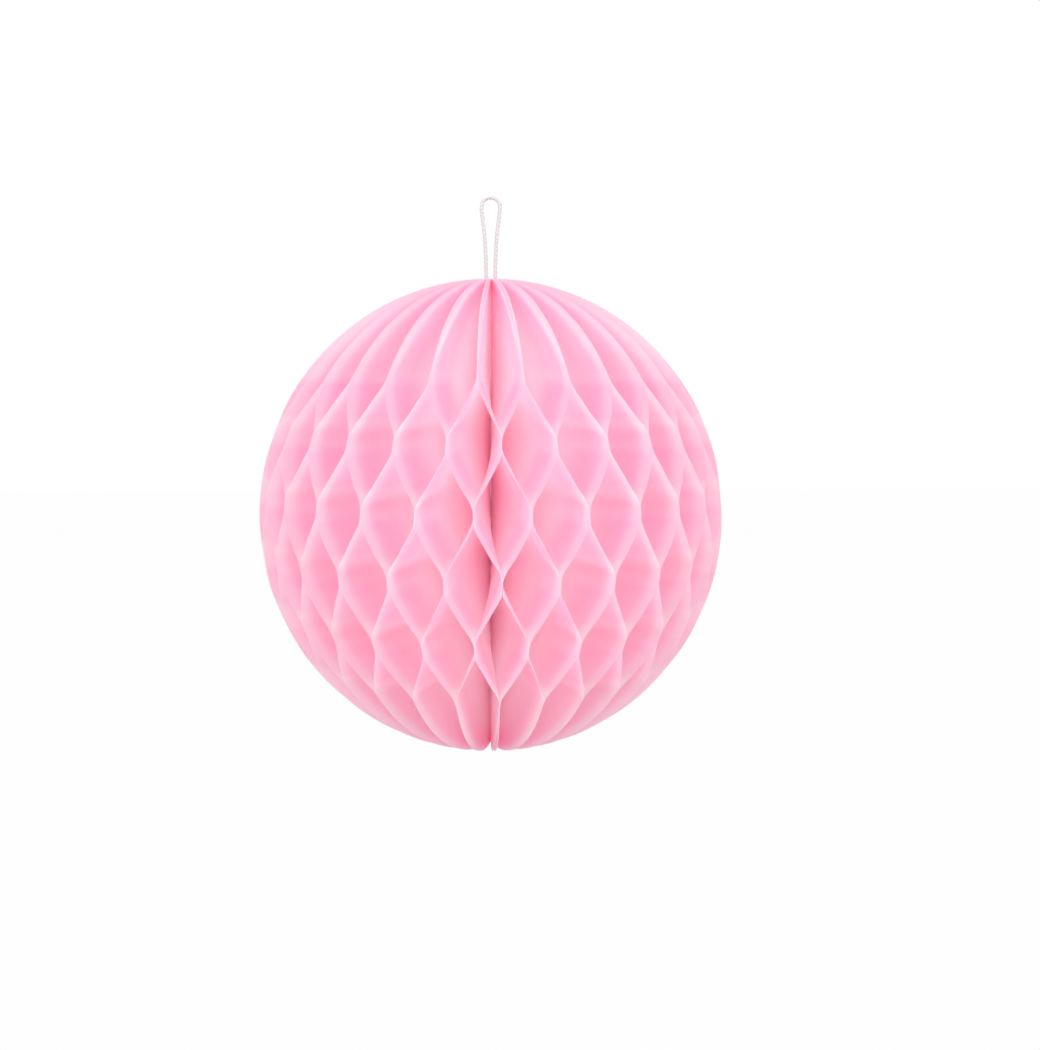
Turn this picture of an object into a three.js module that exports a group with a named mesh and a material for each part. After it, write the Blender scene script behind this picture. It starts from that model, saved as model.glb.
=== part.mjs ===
// Honeycomb paper ball: tissue leaves fanned round an upright spine, hung by a loop of string.
// Millimetres, +Z up, origin at the middle of the ball. Angles start at -Y and grow towards +X.
import * as THREE from 'three';
import { mergeVertices } from 'three/addons/utils/BufferGeometryUtils.js';

// Driving dimensions of the ball
const BALL_DIAMETER = 98;
const BALL_HEIGHT = 100;
const CELL_COLUMNS = 28; // cells side by side round the ball, each between two leaves
const LEAF_THICKNESS = 0.35; // thicker than real tissue, so that each leaf is a solid
const GLUE_ROWS = 6;
const GLUE_PITCH = 12.7; // height from one row of glue to the next
const GLUE_STRIP_HEIGHT = 2.5;
const POLE_SLACK = 0.4; // how far the end rows' pairs part again at the pole, as a share of the cell
const POLE_CAP_DIAMETER = 5; // flat end of the spine, where all the leaf corners are bound
const TOUCHING_GAP = 0.12; // leaves nearer than this at their rim count as touching

// Steps of the loft
const STEPS_BETWEEN_ROWS = 3;
const STEPS_TO_POLE = 5;
const POCKET_CORNERS = 3; // of each pocket between two leaves: rim, crease, rim

// Driving dimensions of the string
const STRING_DIAMETER = 0.84;
const STRING_SIDES = 8;
const STRING_STEPS = 22;
const STRING_GAP = 0.3; // clearance between the string's ends and the pole
// Half of the loop, as distance from the axis and height above the string's end
const STRING_ROUTE = [
  [0.95, 0],
  [0.97, 2],
  [1.02, 4],
  [1.1, 6],
  [1.22, 8],
  [1.4, 9.8],
  [1.62, 11.5],
  [1.82, 13.1],
  [1.93, 14.6],
  [1.68, 15.6],
  [0.98, 16.3],
  [0, 16.55],
];

// Sizes that follow from these
const rimRadiusMax = BALL_DIAMETER / 2;
const halfHeight = BALL_HEIGHT / 2;
const leafCount = 2 * CELL_COLUMNS;
const leafStep = (2 * Math.PI) / leafCount;
const capHeight = halfHeight * Math.sqrt(1 - (POLE_CAP_DIAMETER / BALL_DIAMETER) ** 2);

// The round outline of a leaf
const rimRadius = (z) => rimRadiusMax * Math.sqrt(1 - (z / halfHeight) ** 2);
const outlineAngle = (z) => Math.asin(z / halfHeight);

// A point at a radius and an angle round the spine
function around(radius, angle, z) {
  return new THREE.Vector3(radius * Math.sin(angle), -radius * Math.cos(angle), z);
}

// The levels of the loft from pole to pole, each with its swing: at 1 every even leaf meets the next leaf,
// at -1 it meets the leaf before, and at 0 the leaves stand evenly.
function ballLevels() {
  const rowHeight = (row) => (row - (GLUE_ROWS - 1) / 2) * GLUE_PITCH;
  const rowSwing = (row) => (row % 2 === 0 ? -1 : 1);
  const halfStrip = GLUE_STRIP_HEIGHT / 2;
  const lastRow = GLUE_ROWS - 1;
  const levels = [];

  // From the end row's strip to the pole the leaves are free, and their pairs part a little
  const poleLevels = (side, row) => {
    const start = outlineAngle(side * (rowHeight(row) + side * halfStrip));
    const end = outlineAngle(capHeight);
    const steps = [];
    for (let step = 1; step <= STEPS_TO_POLE; step++) {
      const part = step / STEPS_TO_POLE;
      const z = side * halfHeight * Math.sin(THREE.MathUtils.lerp(start, end, part));
      steps.push({ z, swing: rowSwing(row) * (1 - POLE_SLACK * part) });
    }
    return steps;
  };

  levels.push(...poleLevels(-1, 0).reverse());
  for (let row = 0; row <= lastRow; row++) {
    const top = rowHeight(row) + halfStrip;
    levels.push({ z: top - GLUE_STRIP_HEIGHT, swing: rowSwing(row) }, { z: top, swing: rowSwing(row) });
    // Between two strips a leaf runs straight across from one neighbour to the other
    for (let step = 1; step < STEPS_BETWEEN_ROWS && row < lastRow; step++) {
      const part = step / STEPS_BETWEEN_ROWS;
      const z = top + part * (GLUE_PITCH - GLUE_STRIP_HEIGHT);
      levels.push({ z, swing: rowSwing(row) * (1 - 2 * part) });
    }
  }
  levels.push(...poleLevels(1, lastRow));
  return levels;
}

// The level section: for each pocket between two leaves its first rim corner, its crease at the spine and its
// last rim corner. Where the leaves touch, all three are the one point at the rim.
function ballSection({ z, swing }) {
  const rim = rimRadius(z);
  const halfLeaf = Math.asin(LEAF_THICKNESS / 2 / rim);
  const reach = swing * Math.max(leafStep / 2 - halfLeaf, 0);
  const corners = [];
  for (let pocket = 0; pocket < leafCount; pocket++) {
    const middle = leafStep * (pocket + 1);
    const half = leafStep / 2 + (pocket % 2 === 0 ? -reach : reach);
    const mouth = half - halfLeaf;
    if (2 * rim * mouth > TOUCHING_GAP) {
      const crease = LEAF_THICKNESS / 2 / Math.sin(half);
      corners.push(around(rim, middle - mouth, z), around(crease, middle, z), around(rim, middle + mouth, z));
    } else {
      const touch = around(rim, middle, z);
      corners.push(touch, touch, touch);
    }
  }
  return corners;
}

// A closed solid from points and triangles: equal points become one, and triangles without area go
function solidGeometry(points, triangles) {
  const loose = new THREE.BufferGeometry().setFromPoints(points);
  loose.setIndex(triangles);
  const geometry = mergeVertices(loose);
  const index = geometry.getIndex().array;
  const kept = [];
  for (let i = 0; i < index.length; i += 3) {
    const [a, b, c] = index.subarray(i, i + 3);
    if (a !== b && b !== c && c !== a) kept.push(a, b, c);
  }
  geometry.setIndex(kept);
  geometry.computeVertexNormals();
  return geometry;
}

// The ball is one loft through all its level sections, closed by a fan at each pole
function ballGeometry() {
  const levels = ballLevels();
  const size = POCKET_CORNERS * leafCount;
  const points = levels.flatMap(ballSection);
  const triangles = [];
  const at = (level, corner) => level * size + (corner % size);

  for (let level = 0; level + 1 < levels.length; level++) {
    // Both faces of a leaf are split along the same diagonal, so that a twisted leaf keeps its thickness
    const splitFromLow = Math.abs(levels[level].swing) >= Math.abs(levels[level + 1].swing);
    for (let corner = 0; corner < size; corner++) {
      const [a, b] = [at(level, corner), at(level, corner + 1)];
      const [d, c] = [at(level + 1, corner), at(level + 1, corner + 1)];
      const leavesCrease = corner % POCKET_CORNERS === 1;
      if (leavesCrease !== splitFromLow) triangles.push(a, b, c, a, c, d);
      else triangles.push(a, b, d, b, c, d);
    }
  }

  const bottom = points.push(new THREE.Vector3(0, 0, -capHeight)) - 1;
  const top = points.push(new THREE.Vector3(0, 0, capHeight)) - 1;
  const topLevel = levels.length - 1;
  for (let corner = 0; corner < size; corner++) {
    triangles.push(bottom, at(0, corner + 1), at(0, corner));
    triangles.push(top, at(topLevel, corner), at(topLevel, corner + 1));
  }
  return solidGeometry(points, triangles);
}

// The string is a round section swept up one strand, over the loop and down the other
function stringGeometry() {
  const strand = STRING_ROUTE.map(([side, height]) => new THREE.Vector3(-side, 0, height));
  const back = strand.slice(0, -1).reverse().map((point) => new THREE.Vector3(-point.x, 0, point.z));
  const route = new THREE.CatmullRomCurve3([...strand, ...back]);
  const section = [];
  for (let side = 0; side < STRING_SIDES; side++) {
    const angle = (2 * Math.PI * side) / STRING_SIDES;
    section.push(new THREE.Vector2(Math.cos(angle), Math.sin(angle)).multiplyScalar(STRING_DIAMETER / 2));
  }
  return new THREE.ExtrudeGeometry(new THREE.Shape(section), { extrudePath: route, steps: STRING_STEPS });
}

// Finishes
const tissue = new THREE.MeshStandardMaterial({ color: '#ffb2d0', roughness: 0.95, metalness: 0 });
const thread = new THREE.MeshStandardMaterial({ color: '#f2f0f0', roughness: 0.85, metalness: 0 });

// The assembled ball
const ball = new THREE.Mesh(ballGeometry(), tissue);
ball.name = 'honeycomb_ball';

const string = new THREE.Mesh(stringGeometry(), thread);
string.name = 'hanging_string';
string.position.z = capHeight + STRING_GAP;

const honeycombPaperBall = new THREE.Group();
honeycombPaperBall.add(ball, string);
export default honeycombPaperBall;
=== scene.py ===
# %% [markdown]
# # A honeycomb paper ball
# The ball is a pack of half-round tissue leaves, bound along their straight edges and fanned all the way
# round that spine. Strips of glue hold each leaf to its neighbours. The strips are staggered from row to
# row, so the fanned leaves pull one another into honeycomb cells. A loop of white string hangs the ball.
#
# The solid model comes first, because every piece here takes its place and its size from it. Its box is
# kept for that.

# %% Load the solid model
import math

import bmesh
import bpy
from mathutils import Matrix, Vector, noise


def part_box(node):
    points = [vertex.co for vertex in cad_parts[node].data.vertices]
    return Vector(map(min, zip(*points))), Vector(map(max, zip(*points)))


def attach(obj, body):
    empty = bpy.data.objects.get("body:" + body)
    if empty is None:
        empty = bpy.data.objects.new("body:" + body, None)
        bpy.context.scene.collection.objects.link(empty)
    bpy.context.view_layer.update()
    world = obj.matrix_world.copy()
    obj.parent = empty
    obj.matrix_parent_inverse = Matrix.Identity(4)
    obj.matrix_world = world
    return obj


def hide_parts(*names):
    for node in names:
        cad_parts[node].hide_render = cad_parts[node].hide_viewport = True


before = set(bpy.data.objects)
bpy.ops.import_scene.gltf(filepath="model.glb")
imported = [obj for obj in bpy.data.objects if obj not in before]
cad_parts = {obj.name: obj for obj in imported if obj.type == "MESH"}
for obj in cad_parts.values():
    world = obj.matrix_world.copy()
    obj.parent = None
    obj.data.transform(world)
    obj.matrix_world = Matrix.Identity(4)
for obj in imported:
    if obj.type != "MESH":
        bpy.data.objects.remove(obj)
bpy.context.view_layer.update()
ball_low, ball_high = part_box("honeycomb_ball")
print("solid ball from", ball_low, "to", ball_high)

# %% [markdown]
# ## Camera
# The camera looks slightly down on the ball from close by, which is why the rows of cells bend upwards at
# the sides. The distance, the angles and the focal length were fitted to the crossings of the leaf edges.
# The ball isn't in the middle of the picture, so the lens is shifted by that much and the camera still
# faces the ball.

# %% Camera
IMAGE_WIDTH = 1040
IMAGE_HEIGHT = 1050
BALL_CENTRE_ACROSS = 490.75  # pixels from the left edge of the picture
BALL_CENTRE_DOWN = 515.0  # pixels from its top edge
FOCAL_LENGTH = 1369.6  # pixels
SENSOR_SIDE = 36.0  # millimetres, along the picture's longer side
CAMERA_DISTANCE = 0.294
CAMERA_AZIMUTH = math.radians(-2.58)
CAMERA_ELEVATION = math.radians(6.83)

lens = bpy.data.cameras.new("camera")
lens.sensor_width = SENSOR_SIDE
lens.lens = FOCAL_LENGTH * SENSOR_SIDE / IMAGE_HEIGHT
lens.shift_x = (IMAGE_WIDTH / 2 - BALL_CENTRE_ACROSS) / IMAGE_HEIGHT
lens.shift_y = (BALL_CENTRE_DOWN - IMAGE_HEIGHT / 2) / IMAGE_HEIGHT
lens.clip_start = 0.01
camera = bpy.data.objects.new("camera", lens)
camera.rotation_euler = (math.pi / 2 - CAMERA_ELEVATION, 0, CAMERA_AZIMUTH)
camera.location = camera.rotation_euler.to_matrix() @ Vector((0, 0, CAMERA_DISTANCE))
bpy.context.scene.collection.objects.link(camera)
bpy.context.scene.camera = camera
print("camera at", camera.location, "lens", round(lens.lens, 2), "mm")

# %% [markdown]
# ## Helpers
# A few things are needed again and again: turning a bmesh into an object, starting a material, and adding a
# shader node with its values set. A piece stays at the origin with its place in its mesh, as the solids do.

# %% Make an object from a bmesh
def make_piece(name, bm, material):
    mesh = bpy.data.meshes.new(name)
    bm.to_mesh(mesh)
    bm.free()
    mesh.materials.append(material)
    piece = bpy.data.objects.new(name, mesh)
    bpy.context.scene.collection.objects.link(piece)
    print(name, len(mesh.vertices), "vertices", len(mesh.polygons), "faces")
    return piece


# %% Start a material and add a shader node
def new_material(name):
    material = bpy.data.materials.new(name)
    material.use_nodes = True
    material.node_tree.nodes.clear()
    return material, material.node_tree


def add_node(tree, kind, inputs=None, **settings):
    node = tree.nodes.new("ShaderNode" + kind)
    for name, value in settings.items():
        setattr(node, name, value)
    for name, value in (inputs or {}).items():
        if isinstance(value, bpy.types.NodeSocket):
            tree.links.new(value, node.inputs[name])
        else:
            node.inputs[name].default_value = value
    return node


MIX_COLOUR_A = 6  # the colour sockets of a Mix node, which has sockets for every kind of value
MIX_COLOUR_B = 7
MIX_COLOUR_RESULT = 2

# %% [markdown]
# ## Fibres
# Tissue and thread are both made of fibres. Close to, they show as fine flecks that run one way. Both
# finishes need them at a size of their own, so they are a node group: noise that is stretched along the
# fibres and put out as a mask from 0 to 1.

# %% Fibre group
FLECKS_FROM = 0.3  # the noise at which a fleck starts, and at which it is full
FLECKS_TO = 0.7

fibres = bpy.data.node_groups.new("fibres", "ShaderNodeTree")
fibres.interface.new_socket("Vector", in_out="INPUT", socket_type="NodeSocketVector")
fibres.interface.new_socket("Density", in_out="INPUT", socket_type="NodeSocketVector")
fibres.interface.new_socket("Flecks", in_out="OUTPUT", socket_type="NodeSocketFloat")
group_in = fibres.nodes.new("NodeGroupInput")
group_out = fibres.nodes.new("NodeGroupOutput")
spread = add_node(
    fibres,
    "VectorMath",
    {0: group_in.outputs["Vector"], 1: group_in.outputs["Density"]},
    operation="MULTIPLY",
)
strands = add_node(fibres, "TexNoise", {"Vector": spread.outputs[0], "Scale": 1.0, "Detail": 2.0})
mask = add_node(
    fibres,
    "MapRange",
    {"Value": strands.outputs["Fac"], "From Min": FLECKS_FROM, "From Max": FLECKS_TO},
)
fibres.links.new(mask.outputs["Result"], group_out.inputs["Flecks"])
print("fibre group with", len(fibres.nodes), "nodes")

# %% [markdown]
# ## Hanging string
# Two strands of thin white string rise from the top of the ball. Only their lower part is known, so they
# are finished as a plain loop, and both ends run down between the leaf corners at the pole. The string is a
# thread of three plies. A three-lobed ring that turns as it is swept along the route makes all three plies
# at once, with grooves that wind round, for far fewer faces than three separate tubes.

# %% Route of the string
STRING_DIAMETER = 0.00084
STRING_GAP = 0.0003  # between the pole and the first point of the route
STRING_TAIL = 0.0018  # how far each end goes on below the first point
# Half of the loop, as distance from the axis and height above the first point
STRING_ROUTE = [
    (0.00095, 0.0),
    (0.00097, 0.002),
    (0.00102, 0.004),
    (0.0011, 0.006),
    (0.00122, 0.008),
    (0.0014, 0.0098),
    (0.00162, 0.0115),
    (0.00182, 0.0131),
    (0.00193, 0.0146),
    (0.00168, 0.0156),
    (0.00098, 0.0163),
    (0.0, 0.01655),
]
STEPS_PER_POINT = 6

string_start = ball_high.z + STRING_GAP
tail_side = STRING_ROUTE[0][0]
rising = [Vector((-tail_side, 0, string_start - STRING_TAIL))]
rising += [Vector((-side, 0, string_start + height)) for side, height in STRING_ROUTE]
falling = [Vector((-point.x, 0, point.z)) for point in reversed(rising[:-1])]
string_points = rising + falling


def smooth_route(points, steps):
    """Points along a smooth curve that goes through the given ones."""
    ends = [2 * points[0] - points[1], *points, 2 * points[-1] - points[-2]]
    route = []
    for before, start, end, after in zip(ends, ends[1:], ends[2:], ends[3:]):
        for step in range(steps):
            t = step / steps
            pull = (end - before) * (t - 2 * t**2 + t**3) / 2 + (after - start) * (t**3 - t**2) / 2
            route.append(start.lerp(end, 3 * t**2 - 2 * t**3) + pull)
    return route + [points[-1]]


string_path = smooth_route(string_points, STEPS_PER_POINT)

# %% Finish of the string
STRING_WHITE = (0.70, 0.70, 0.70, 1)
STRING_SHADE = (0.57, 0.57, 0.57, 1)
STRING_FIBRES = (9000, 9000, 1800)  # flecks in a metre, drawn out along the string
STRING_RELIEF = 0.00003

string_finish, tree = new_material("white_thread")
coordinates = add_node(tree, "TexCoord")
flecks = add_node(
    tree,
    "Group",
    {"Vector": coordinates.outputs["Object"], "Density": STRING_FIBRES},
    node_tree=fibres,
)
colour = add_node(
    tree,
    "Mix",
    {0: flecks.outputs["Flecks"], MIX_COLOUR_A: STRING_SHADE, MIX_COLOUR_B: STRING_WHITE},
    data_type="RGBA",
)
relief = add_node(
    tree, "Bump", {"Strength": 0.4, "Distance": STRING_RELIEF, "Height": flecks.outputs["Flecks"]}
)
cotton = add_node(
    tree,
    "BsdfPrincipled",
    {
        "Base Color": colour.outputs[MIX_COLOUR_RESULT],
        "Roughness": 0.85,
        "Specular IOR Level": 0.2,
        "Normal": relief.outputs["Normal"],
    },
)
add_node(tree, "OutputMaterial", {"Surface": cotton.outputs["BSDF"]})
print("thread finish with", len(tree.nodes), "nodes")

# %% Sweep the thread along the route
PLIES = 3
RING_SIDES = 24
PLY_GROOVE = 0.3  # depth of the groove between plies, as a share of the radius
TWIST_PITCH = 0.0026  # length of one full turn of the plies


def ring_places(path):
    """A matrix for each point of a route in the xz plane, which stands the section across it."""
    places = []
    turned = 0.0
    for index, point in enumerate(path):
        before = path[max(index - 1, 0)]
        after = path[min(index + 1, len(path) - 1)]
        along = (after - before).normalized()
        across = Vector((0, 1, 0))
        stand = Matrix((across, along.cross(across), along)).transposed().to_4x4()
        turned += (point - before).length * 2 * math.pi / TWIST_PITCH
        places.append(Matrix.Translation(point) @ stand @ Matrix.Rotation(turned, 4, "Z"))
    return places


def sweep_order(face):
    """A number by which faces sort along the sweep: by their last vertex, then by their first."""
    indices = [vert.index for vert in face.verts]
    return max(indices) * len(bm.verts) + min(indices)


bm = bmesh.new()
ring = bmesh.ops.create_circle(bm, cap_ends=True, segments=RING_SIDES, radius=STRING_DIAMETER / 2)["verts"]
for vert in ring:
    ply = abs(math.cos(math.atan2(vert.co.y, vert.co.x) * PLIES / 2))
    vert.co *= 1 - PLY_GROOVE * (1 - ply)
edges = list(bm.edges)
places = ring_places(string_path)
bmesh.ops.transform(bm, matrix=places[0], verts=ring)
for last, place in zip(places, places[1:]):
    grown = bmesh.ops.extrude_edge_only(bm, edges=edges)["geom"]
    ring = {part for part in grown if isinstance(part, bmesh.types.BMVert)}
    edges = [part for part in grown if isinstance(part, bmesh.types.BMEdge) and ring.issuperset(part.verts)]
    bmesh.ops.transform(bm, matrix=place @ last.inverted(), verts=list(ring))
bmesh.ops.edgeloop_fill(bm, edges=edges)
bmesh.ops.recalc_face_normals(bm, faces=bm.faces)
bm.verts.index_update()
bm.faces.sort(key=sweep_order)  # extruding leaves them in an order that changes from run to run
for face in bm.faces:
    face.smooth = len(face.verts) == 4  # the round sides, but not the two flat ends
string = make_piece("twisted_string", bm, string_finish)

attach(string, "root")
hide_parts("hanging_string")
print("string leaves the ball at", (-tail_side, 0, ball_high.z))

# %% [markdown]
# ## Tissue
# Thin dyed tissue sends back only a part of the light and lets the rest through, and that light comes out
# on the other side just as soft. So the cells glow instead of going black, and the light that has crossed
# many leaves is a deeper rose. Subsurface scattering needs a body with an inside, and a leaf here is a
# single sheet. So a Principled shader gives the matt front and a Translucent one the glow from behind,
# mixed at one share all over. A little sheen stands for the loose fibres, which catch light at a glancing
# angle.
#
# The sheet isn't even. It is cloudy, with fibres along the leaf and slight crinkles. Along the rim it is
# painted paler, a painted highlight for the light that the free rims catch. Real tissue also has tiny holes
# that let white light straight in. This sheet has none, and each leaf that light crosses takes out some
# green and blue, so the middle of the ball would go too red. To make up for that, both colours are paler
# towards the spine, which is painted light. Along the strips the tissue lets light through more clearly.
# This is painted light that keeps the double layer there from looking darker than the single one beside it.
#
# All this is painted on the sheet, so it reads three attributes of the leaf: `paper`, the place on the flat
# leaf, `from_rim`, the distance from the rim, and `swing`, which is 1 at the strips and 0 halfway between
# them.

# %% Colours of the tissue
TISSUE_PALE = (1.0, 0.38, 0.60, 1)
TISSUE_DEEP = (1.0, 0.32, 0.55, 1)
# The rim colour is a painted highlight for the light that the free rims catch.
TISSUE_RIM_HIGHLIGHT = (1.0, 0.67, 0.81, 1)
# The inner colours are painted light. They make the tissue paler towards the spine so the middle of the
# ball doesn't go dark and red.
TISSUE_INNER_PAINTED_LIGHT = (1.0, 0.97, 0.98, 1)
TISSUE_SHEEN = (1.0, 0.65, 0.75, 1)
GLOW_OUTER = (1.0, 0.785, 0.885, 1)
# The glued glow is painted light. It makes the tissue clearer along the strips so the double layer there
# doesn't go dark.
GLOW_GLUED_PAINTED_LIGHT = (1.0, 0.95, 0.975, 1)
GLOW_INNER_PAINTED_LIGHT = (1.0, 0.976, 0.985, 1)
GLOW_SHARE = 0.76
RIM_START = 0.0012  # from the rim inwards its colour holds up to here, and ends at the next
RIM_END = 0.0036
INNER_START = 0.004  # from here inwards the sheet gets paler, up to the next
INNER_END = 0.018
GLUED_FROM = 0.5  # the swing at which the painted light along the strips begins
print("tissue from", TISSUE_DEEP[:3], "to", TISSUE_PALE[:3], "with light through it", GLOW_SHARE)

# %% Masks of the sheet
CLOUD_SCALE = 130  # clouds of about 8 mm
CLOUDY_FROM = 0.4  # the tone at which the sheet is deepest, and at which it is palest
CLOUDY_TO = 1.0
TISSUE_FIBRES = (2600, 700, 50)  # flecks in a metre, drawn out up and down the leaf
FLECK_SHARE = 0.4  # of the flecks in the tone, beside the clouds

tissue_finish, tree = new_material("tissue_paper")
paper = add_node(tree, "Attribute", attribute_name="paper")
from_rim = add_node(tree, "Attribute", attribute_name="from_rim")
swing = add_node(tree, "Attribute", attribute_name="swing")
clouds = add_node(
    tree, "TexNoise", {"Vector": paper.outputs["Vector"], "Scale": CLOUD_SCALE, "Detail": 1.0}
)
flecks = add_node(
    tree,
    "Group",
    {"Vector": paper.outputs["Vector"], "Density": TISSUE_FIBRES},
    node_tree=fibres,
)
tone = add_node(
    tree,
    "Math",
    {0: flecks.outputs["Flecks"], 1: FLECK_SHARE, 2: clouds.outputs["Fac"]},
    operation="MULTIPLY_ADD",
)
cloudy = add_node(
    tree, "MapRange", {"Value": tone.outputs[0], "From Min": CLOUDY_FROM, "From Max": CLOUDY_TO}
)
# The inner mask places that painted light towards the spine.
inner_painted_light = add_node(
    tree,
    "MapRange",
    {"Value": from_rim.outputs["Fac"], "From Min": INNER_START, "From Max": INNER_END},
    interpolation_type="SMOOTHSTEP",
)
# The glued mask places that painted light along the strips.
glued_painted_light = add_node(
    tree,
    "MapRange",
    {"Value": swing.outputs["Fac"], "From Min": GLUED_FROM},
    interpolation_type="SMOOTHSTEP",
)
# The rim mask places the painted highlight along the rim.
rim = add_node(
    tree,
    "MapRange",
    {
        "Value": from_rim.outputs["Fac"],
        "From Min": RIM_START,
        "From Max": RIM_END,
        "To Min": 1,
        "To Max": 0,
    },
    interpolation_type="SMOOTHSTEP",
)
print("masks of the sheet in", len(tree.nodes), "nodes")


# %% Mix the colours of the sheet
def blend(mask, below, above):
    """A colour that goes from one to the other where the mask goes from 0 to 1."""
    inputs = {0: mask.outputs["Result"], MIX_COLOUR_A: below, MIX_COLOUR_B: above}
    return add_node(tree, "Mix", inputs, data_type="RGBA").outputs[MIX_COLOUR_RESULT]


sheet_colour = blend(cloudy, TISSUE_DEEP, TISSUE_PALE)
sheet_colour = blend(inner_painted_light, sheet_colour, TISSUE_INNER_PAINTED_LIGHT)
sheet_colour = blend(rim, sheet_colour, TISSUE_RIM_HIGHLIGHT)
glow_colour = blend(glued_painted_light, GLOW_OUTER, GLOW_GLUED_PAINTED_LIGHT)
glow_colour = blend(inner_painted_light, glow_colour, GLOW_INNER_PAINTED_LIGHT)
print("colours mixed in", len(tree.nodes), "nodes")

# %% Finish of the tissue
CRINKLE_SCALE = 240  # crinkles of about 4 mm
CRINKLE_DEPTH = 0.0003

crinkles = add_node(
    tree, "TexNoise", {"Vector": paper.outputs["Vector"], "Scale": CRINKLE_SCALE, "Detail": 1.0}
)
relief = add_node(
    tree, "Bump", {"Strength": 0.5, "Distance": CRINKLE_DEPTH, "Height": crinkles.outputs["Fac"]}
)
front = add_node(
    tree,
    "BsdfPrincipled",
    {
        "Base Color": sheet_colour,
        "Roughness": 0.9,
        "Specular IOR Level": 0.0,
        "Sheen Weight": 1.0,
        "Sheen Roughness": 0.5,
        "Sheen Tint": TISSUE_SHEEN,
        "Normal": relief.outputs["Normal"],
    },
)
glow = add_node(tree, "BsdfTranslucent", {"Color": glow_colour, "Normal": relief.outputs["Normal"]})
sheet = add_node(tree, "MixShader", {0: GLOW_SHARE, 1: front.outputs["BSDF"], 2: glow.outputs["BSDF"]})
add_node(tree, "OutputMaterial", {"Surface": sheet.outputs["Shader"]})
print("tissue finish with", len(tree.nodes), "nodes")

# %% [markdown]
# ## Leaves
# Opened out, every straight line from the spine to the rim of a leaf stays straight and level. So the
# leaf's shape is told by one thing: how far it swings to the side at each height. At a row of glue it
# swings all the way to one neighbour, at the next row all the way to the other, and in between it runs
# straight across, with a small bend at each strip. Towards the poles there is no more glue, and the pairs
# part a little.
#
# A cloth simulation could open the fan as well. But it is slow with so many thin sheets that touch, and the
# rows could end up beside those of the solid. So each leaf starts as a flat grid, and each of its points
# goes where the swing says.

# %% Sizes of the leaves
CELL_COLUMNS = 28
GLUE_ROWS = 6
GLUE_PITCH = 0.0127
GLUE_STRIP = 0.0008  # height over which the two leaves lie flat on each other
BEND_SHARE = 0.2  # of the way between two strips, for each of the two bends
POLE_SLACK = 0.6  # how far the pairs part again at the pole, as a share of their swing
POLE_RADIUS = 0.0025  # how far from the axis the rim ends at the pole
SPINE_RADIUS = 0.0003  # the bound edges stand close together
STRING_CORE_RADIUS = 0.0019  # at the top some make room for the string's ends
STRING_CORE_DEPTH = 0.005
CLEAR_OF_STRING = 0.70  # how far a leaf may point to the side and still pass the string
FACES_STRING = 0.82  # from here on it has to make room
GLUE_THICKNESS = 0.0001  # between two leaves that lie on each other

LEAVES = 2 * CELL_COLUMNS
LEAF_STEP = 2 * math.pi / LEAVES
FIRST_LEAF = 0.5  # the first leaf stands half a step beside the front
equator_radius = ball_high.x
half_height = ball_high.z / math.sqrt(1 - (POLE_RADIUS / equator_radius) ** 2)
pole_angle = math.asin(ball_high.z / half_height)
print(LEAVES, "leaves of", round(equator_radius * 1000, 2), "by", round(half_height * 2000, 2), "mm")


# %% Swing of a leaf
def cross_over(part):
    """How far a leaf has crossed from one strip to the next, straight but for a bend at each end."""
    if part > 0.5:
        return 1 - cross_over(1 - part)
    if part < BEND_SHARE:
        return part**2 / (2 * BEND_SHARE * (1 - BEND_SHARE))
    return (part - BEND_SHARE / 2) / (1 - BEND_SHARE)


def row_swing(row):
    return -1 if row % 2 == 0 else 1


def leaf_swing(z):
    """How far an even leaf swings towards the next leaf at this height, from -1 to 1."""
    last_row = GLUE_ROWS - 1
    rows_up = z / GLUE_PITCH + last_row / 2
    if 0 < rows_up < last_row:
        row = int(rows_up)
        part = ((rows_up - row) * GLUE_PITCH - GLUE_STRIP / 2) / (GLUE_PITCH - GLUE_STRIP)
        return row_swing(row) * (1 - 2 * cross_over(min(max(part, 0), 1)))
    strip_end = math.asin((GLUE_PITCH * last_row / 2 + GLUE_STRIP / 2) / half_height)
    part = (math.asin(abs(z) / half_height) - strip_end) / (pole_angle - strip_end)
    return row_swing(last_row if z > 0 else 0) * (1 - POLE_SLACK * min(max(part, 0), 1))


row_heights = [(row - (GLUE_ROWS - 1) / 2) * GLUE_PITCH for row in range(GLUE_ROWS)]
print("swing at the rows", [leaf_swing(z) for z in row_heights])

# %% [markdown]
# The rim is a free edge of thin tissue, so wherever the leaf leans, its last few millimetres droop. That
# turns the upper face outwards, and from outside it shows as a pale ribbon along one side of each cell.
# Below a strip of glue the two leaves droop towards each other, so each one stops halfway, where they rest
# on each other.
#
# No two cells of a real ball are quite alike. Between the strips each leaf bulges in a way of its own, and
# the whole ball is slightly uneven. The unevenness is a noise of the place alone, so leaves that are glued
# together move together and stay glued.

# %% Place a point of a leaf
RIM_DROOP = 0.0014  # at a lean of 45 degrees
DROOP_WIDTH = 0.004
LEAN_STEP = 0.002  # the lean is measured this far up and down
BULGE = 0.00025
UNEVENNESS = 0.00035
BULGE_SCALE = 70
UNEVEN_SCALE = 45
LEAF_NOISE_STEP = 7.3  # far enough apart for each leaf to have its own noise


def leaf_radius(z):
    """How far the rim is from the middle of the spine at this height."""
    return equator_radius * math.sqrt(1 - (z / half_height) ** 2)


def ease(part):
    """From 0 to 1 with a soft start and end."""
    part = min(max(part, 0), 1)
    return 3 * part**2 - 2 * part**3


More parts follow.
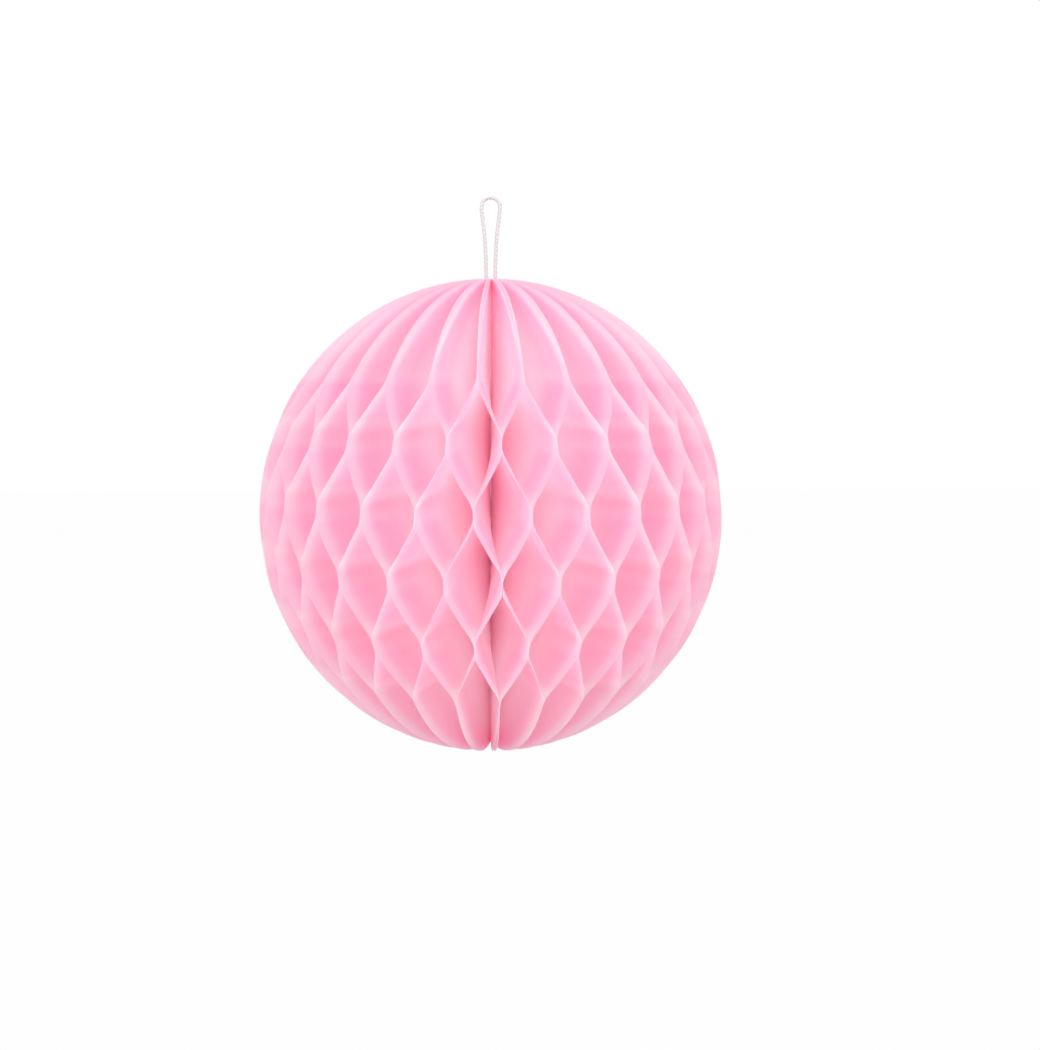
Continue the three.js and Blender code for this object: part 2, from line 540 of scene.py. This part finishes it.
def spine_radius(leaf, z):
    """How far the bound edge of a leaf is from the middle of the spine at this height."""
    to_side = abs(math.sin(LEAF_STEP * (leaf + FIRST_LEAF)))
    room = ease((to_side - CLEAR_OF_STRING) / (FACES_STRING - CLEAR_OF_STRING))
    room *= ease(1 - (ball_high.z - z) / STRING_CORE_DEPTH)
    return SPINE_RADIUS + (STRING_CORE_RADIUS - SPINE_RADIUS) * room


def leaf_lean(z):
    """How far an even leaf leans at its rim: sideways travel for each unit of height."""
    above = min(z + LEAN_STEP, ball_high.z)
    below = max(z - LEAN_STEP, ball_low.z)
    travel = (leaf_swing(above) - leaf_swing(below)) * leaf_radius(z) * LEAF_STEP / 2
    return travel / (above - below)


def leaf_point(leaf, depth, z):
    """Where a point of a leaf stands: depth is 0 at the spine and 1 at the rim."""
    side = 1 if leaf % 2 == 0 else -1
    swing = leaf_swing(z) * side
    angle = LEAF_STEP * (leaf + FIRST_LEAF + swing / 2)
    outward = Vector((math.sin(angle), -math.cos(angle), 0))
    sideways = Vector((math.cos(angle), math.sin(angle), 0))
    radius = spine_radius(leaf, z) + depth * (leaf_radius(z) - spine_radius(leaf, z))
    point = radius * outward + Vector((0, 0, z))
    bulge = noise.noise(Vector((leaf * LEAF_NOISE_STEP, radius * BULGE_SCALE, z * BULGE_SCALE)))
    uneven = noise.noise(point * UNEVEN_SCALE)
    shift = BULGE * bulge * (1 - swing**2) + UNEVENNESS * uneven - swing * GLUE_THICKNESS / 2
    near_rim = max(1 - (leaf_radius(z) - radius) / DROOP_WIDTH, 0)
    droop = RIM_DROOP * near_rim**2 * leaf_lean(z) * side
    if droop * swing > 0:
        to_neighbour = (1 - abs(swing)) * radius * LEAF_STEP / 2
        droop = math.copysign(min(abs(droop), to_neighbour), droop)
    return point + (shift * radius / equator_radius + droop) * sideways


print("the first leaf's rim is halfway up at", leaf_point(0, 1, 0))

# %% Fan out the leaves
DEPTH_STEPS = 8
HEIGHT_STEPS = 216
RIM_CROWDING = 2.1  # above 1 the steps crowd towards the rim

bm = bmesh.new()
on_paper = bm.verts.layers.float_vector.new("paper")
to_rim = bm.verts.layers.float.new("from_rim")
to_strip = bm.verts.layers.float.new("swing")
for leaf in range(LEAVES):
    grid = bmesh.ops.create_grid(bm, x_segments=DEPTH_STEPS, y_segments=HEIGHT_STEPS, size=1)["verts"]
    for vert in grid:
        depth = 1 - ((1 - vert.co.x) / 2) ** RIM_CROWDING
        z = half_height * math.sin(vert.co.y * pole_angle)
        point = leaf_point(leaf, depth, z)
        vert[on_paper] = Vector((point.xy.length, z, leaf * LEAF_NOISE_STEP))
        vert[to_rim] = (1 - depth) * (leaf_radius(z) - spine_radius(leaf, z))
        vert[to_strip] = abs(leaf_swing(z))
        vert.co = point
for face in bm.faces:
    face.smooth = True
ball = make_piece("tissue_leaves", bm, tissue_finish)

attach(ball, "root")
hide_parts("honeycomb_ball")
print("ball of", LEAVES, "leaves,", 2 * len(ball.data.polygons), "triangles")

# %% [markdown]
# ## Studio
# The ball hangs above a pale floor in an even white surround. Most of its light comes from the surround,
# which is brighter above than below. Two soft lamps at the left and the right, somewhat higher than the
# ball, light the drooping rims, and a weak one in front shines into the cells. The picture's ground is pure
# white, so the floor and the surround glow white for rays that show them directly. The floor only does so
# in part, and keeps the ball's soft shadow. The surround is so even that stray rays find its light by
# themselves, so it isn't sampled as a lamp is, which saves time.

# %% Rays that show the ground
def ground_in_sight(tree):
    """1 for rays from the camera, off a gloss or through glass, and 0 for rays that carry light."""
    rays = add_node(tree, "LightPath")
    clear = add_node(
        tree,
        "Math",
        {0: rays.outputs["Is Transmission Ray"], 1: rays.outputs["Is Diffuse Ray"]},
        operation="SUBTRACT",
        use_clamp=True,
    )
    mirrored = add_node(
        tree, "Math", {0: rays.outputs["Is Glossy Ray"], 1: clear.outputs[0]}, operation="MAXIMUM"
    )
    seen = add_node(
        tree, "Math", {0: rays.outputs["Is Camera Ray"], 1: mirrored.outputs[0]}, operation="MAXIMUM"
    )
    return seen.outputs[0]


# %% Floor
WHITE = (1, 1, 1, 1)
FLOOR_HEIGHT = -0.3
FLOOR_SIZE = 6.0
FLOOR_GREY = (0.62, 0.62, 0.62, 1)
FLOOR_GLOW = 0.97  # the share of white for rays that show the floor

floor_finish, tree = new_material("white_floor")
shadowed = add_node(tree, "BsdfDiffuse", {"Color": FLOOR_GREY})
white = add_node(tree, "Emission", {"Color": WHITE, "Strength": 1.0})
share = add_node(tree, "Math", {0: ground_in_sight(tree), 1: FLOOR_GLOW}, operation="MULTIPLY")
ground = add_node(
    tree,
    "MixShader",
    {0: share.outputs[0], 1: shadowed.outputs["BSDF"], 2: white.outputs["Emission"]},
)
add_node(tree, "OutputMaterial", {"Surface": ground.outputs["Shader"]})
bm = bmesh.new()
bmesh.ops.create_grid(
    bm, x_segments=1, y_segments=1, size=FLOOR_SIZE / 2, matrix=Matrix.Translation((0, 0, FLOOR_HEIGHT))
)
floor = make_piece("floor", bm, floor_finish)

# %% Surround
SKY_ABOVE = 1.08
SKY_BELOW = 0.42

surround = bpy.data.worlds.new("surround")
surround.use_nodes = True
tree = surround.node_tree
tree.nodes.clear()
direction = add_node(tree, "TexCoord")
axes = add_node(tree, "SeparateXYZ", {0: direction.outputs["Generated"]})
strength = add_node(
    tree,
    "MapRange",
    {"Value": axes.outputs["Z"], "From Min": -1.0, "To Min": SKY_BELOW, "To Max": SKY_ABOVE},
)
lit = add_node(tree, "Background", {"Color": WHITE, "Strength": strength.outputs["Result"]})
plain = add_node(tree, "Background", {"Color": WHITE, "Strength": 1.0})
sky = add_node(
    tree,
    "MixShader",
    {0: ground_in_sight(tree), 1: lit.outputs["Background"], 2: plain.outputs["Background"]},
)
add_node(tree, "OutputWorld", {"Surface": sky.outputs["Shader"]})
surround.cycles.sampling_method = "NONE"
bpy.context.scene.world = surround
print("surround from", SKY_BELOW, "below to", SKY_ABOVE, "above")

# %% Lamps
def add_lamp(name, place, size, power):
    light = bpy.data.lights.new(name, "AREA")
    light.size = size
    light.energy = power
    lamp = bpy.data.objects.new(name, light)
    lamp.location = place
    lamp.rotation_euler = (-Vector(place)).to_track_quat("-Z", "Y").to_euler()
    bpy.context.scene.collection.objects.link(lamp)
    print(name, "of", power, "W at", place)


add_lamp("left_lamp", place=(-0.54, -0.60, 0.50), size=0.2, power=3.0)
add_lamp("right_lamp", place=(0.54, -0.60, 0.50), size=0.2, power=2.4)
add_lamp("front_lamp", place=(-0.04, -0.89, 0.11), size=0.35, power=1.2)

# %% [markdown]
# Light reaches the middle of the ball only through many leaves, one bounce for each. A path that is cut off
# early loses its light, and the cells would go dark and brown. So paths may be long here.

# %% Length of the light paths
PATH_LENGTH = 96
REFLECTIONS = 40

bpy.context.scene.cycles.max_bounces = PATH_LENGTH
bpy.context.scene.cycles.transmission_bounces = PATH_LENGTH
bpy.context.scene.cycles.diffuse_bounces = REFLECTIONS
print("light paths of up to", PATH_LENGTH, "bounces")

# %% [markdown]
# ## Finish
# The picture's colours are shown as they are, without a film look.

# %% Finish
bpy.context.scene.view_settings.view_transform = "Standard"
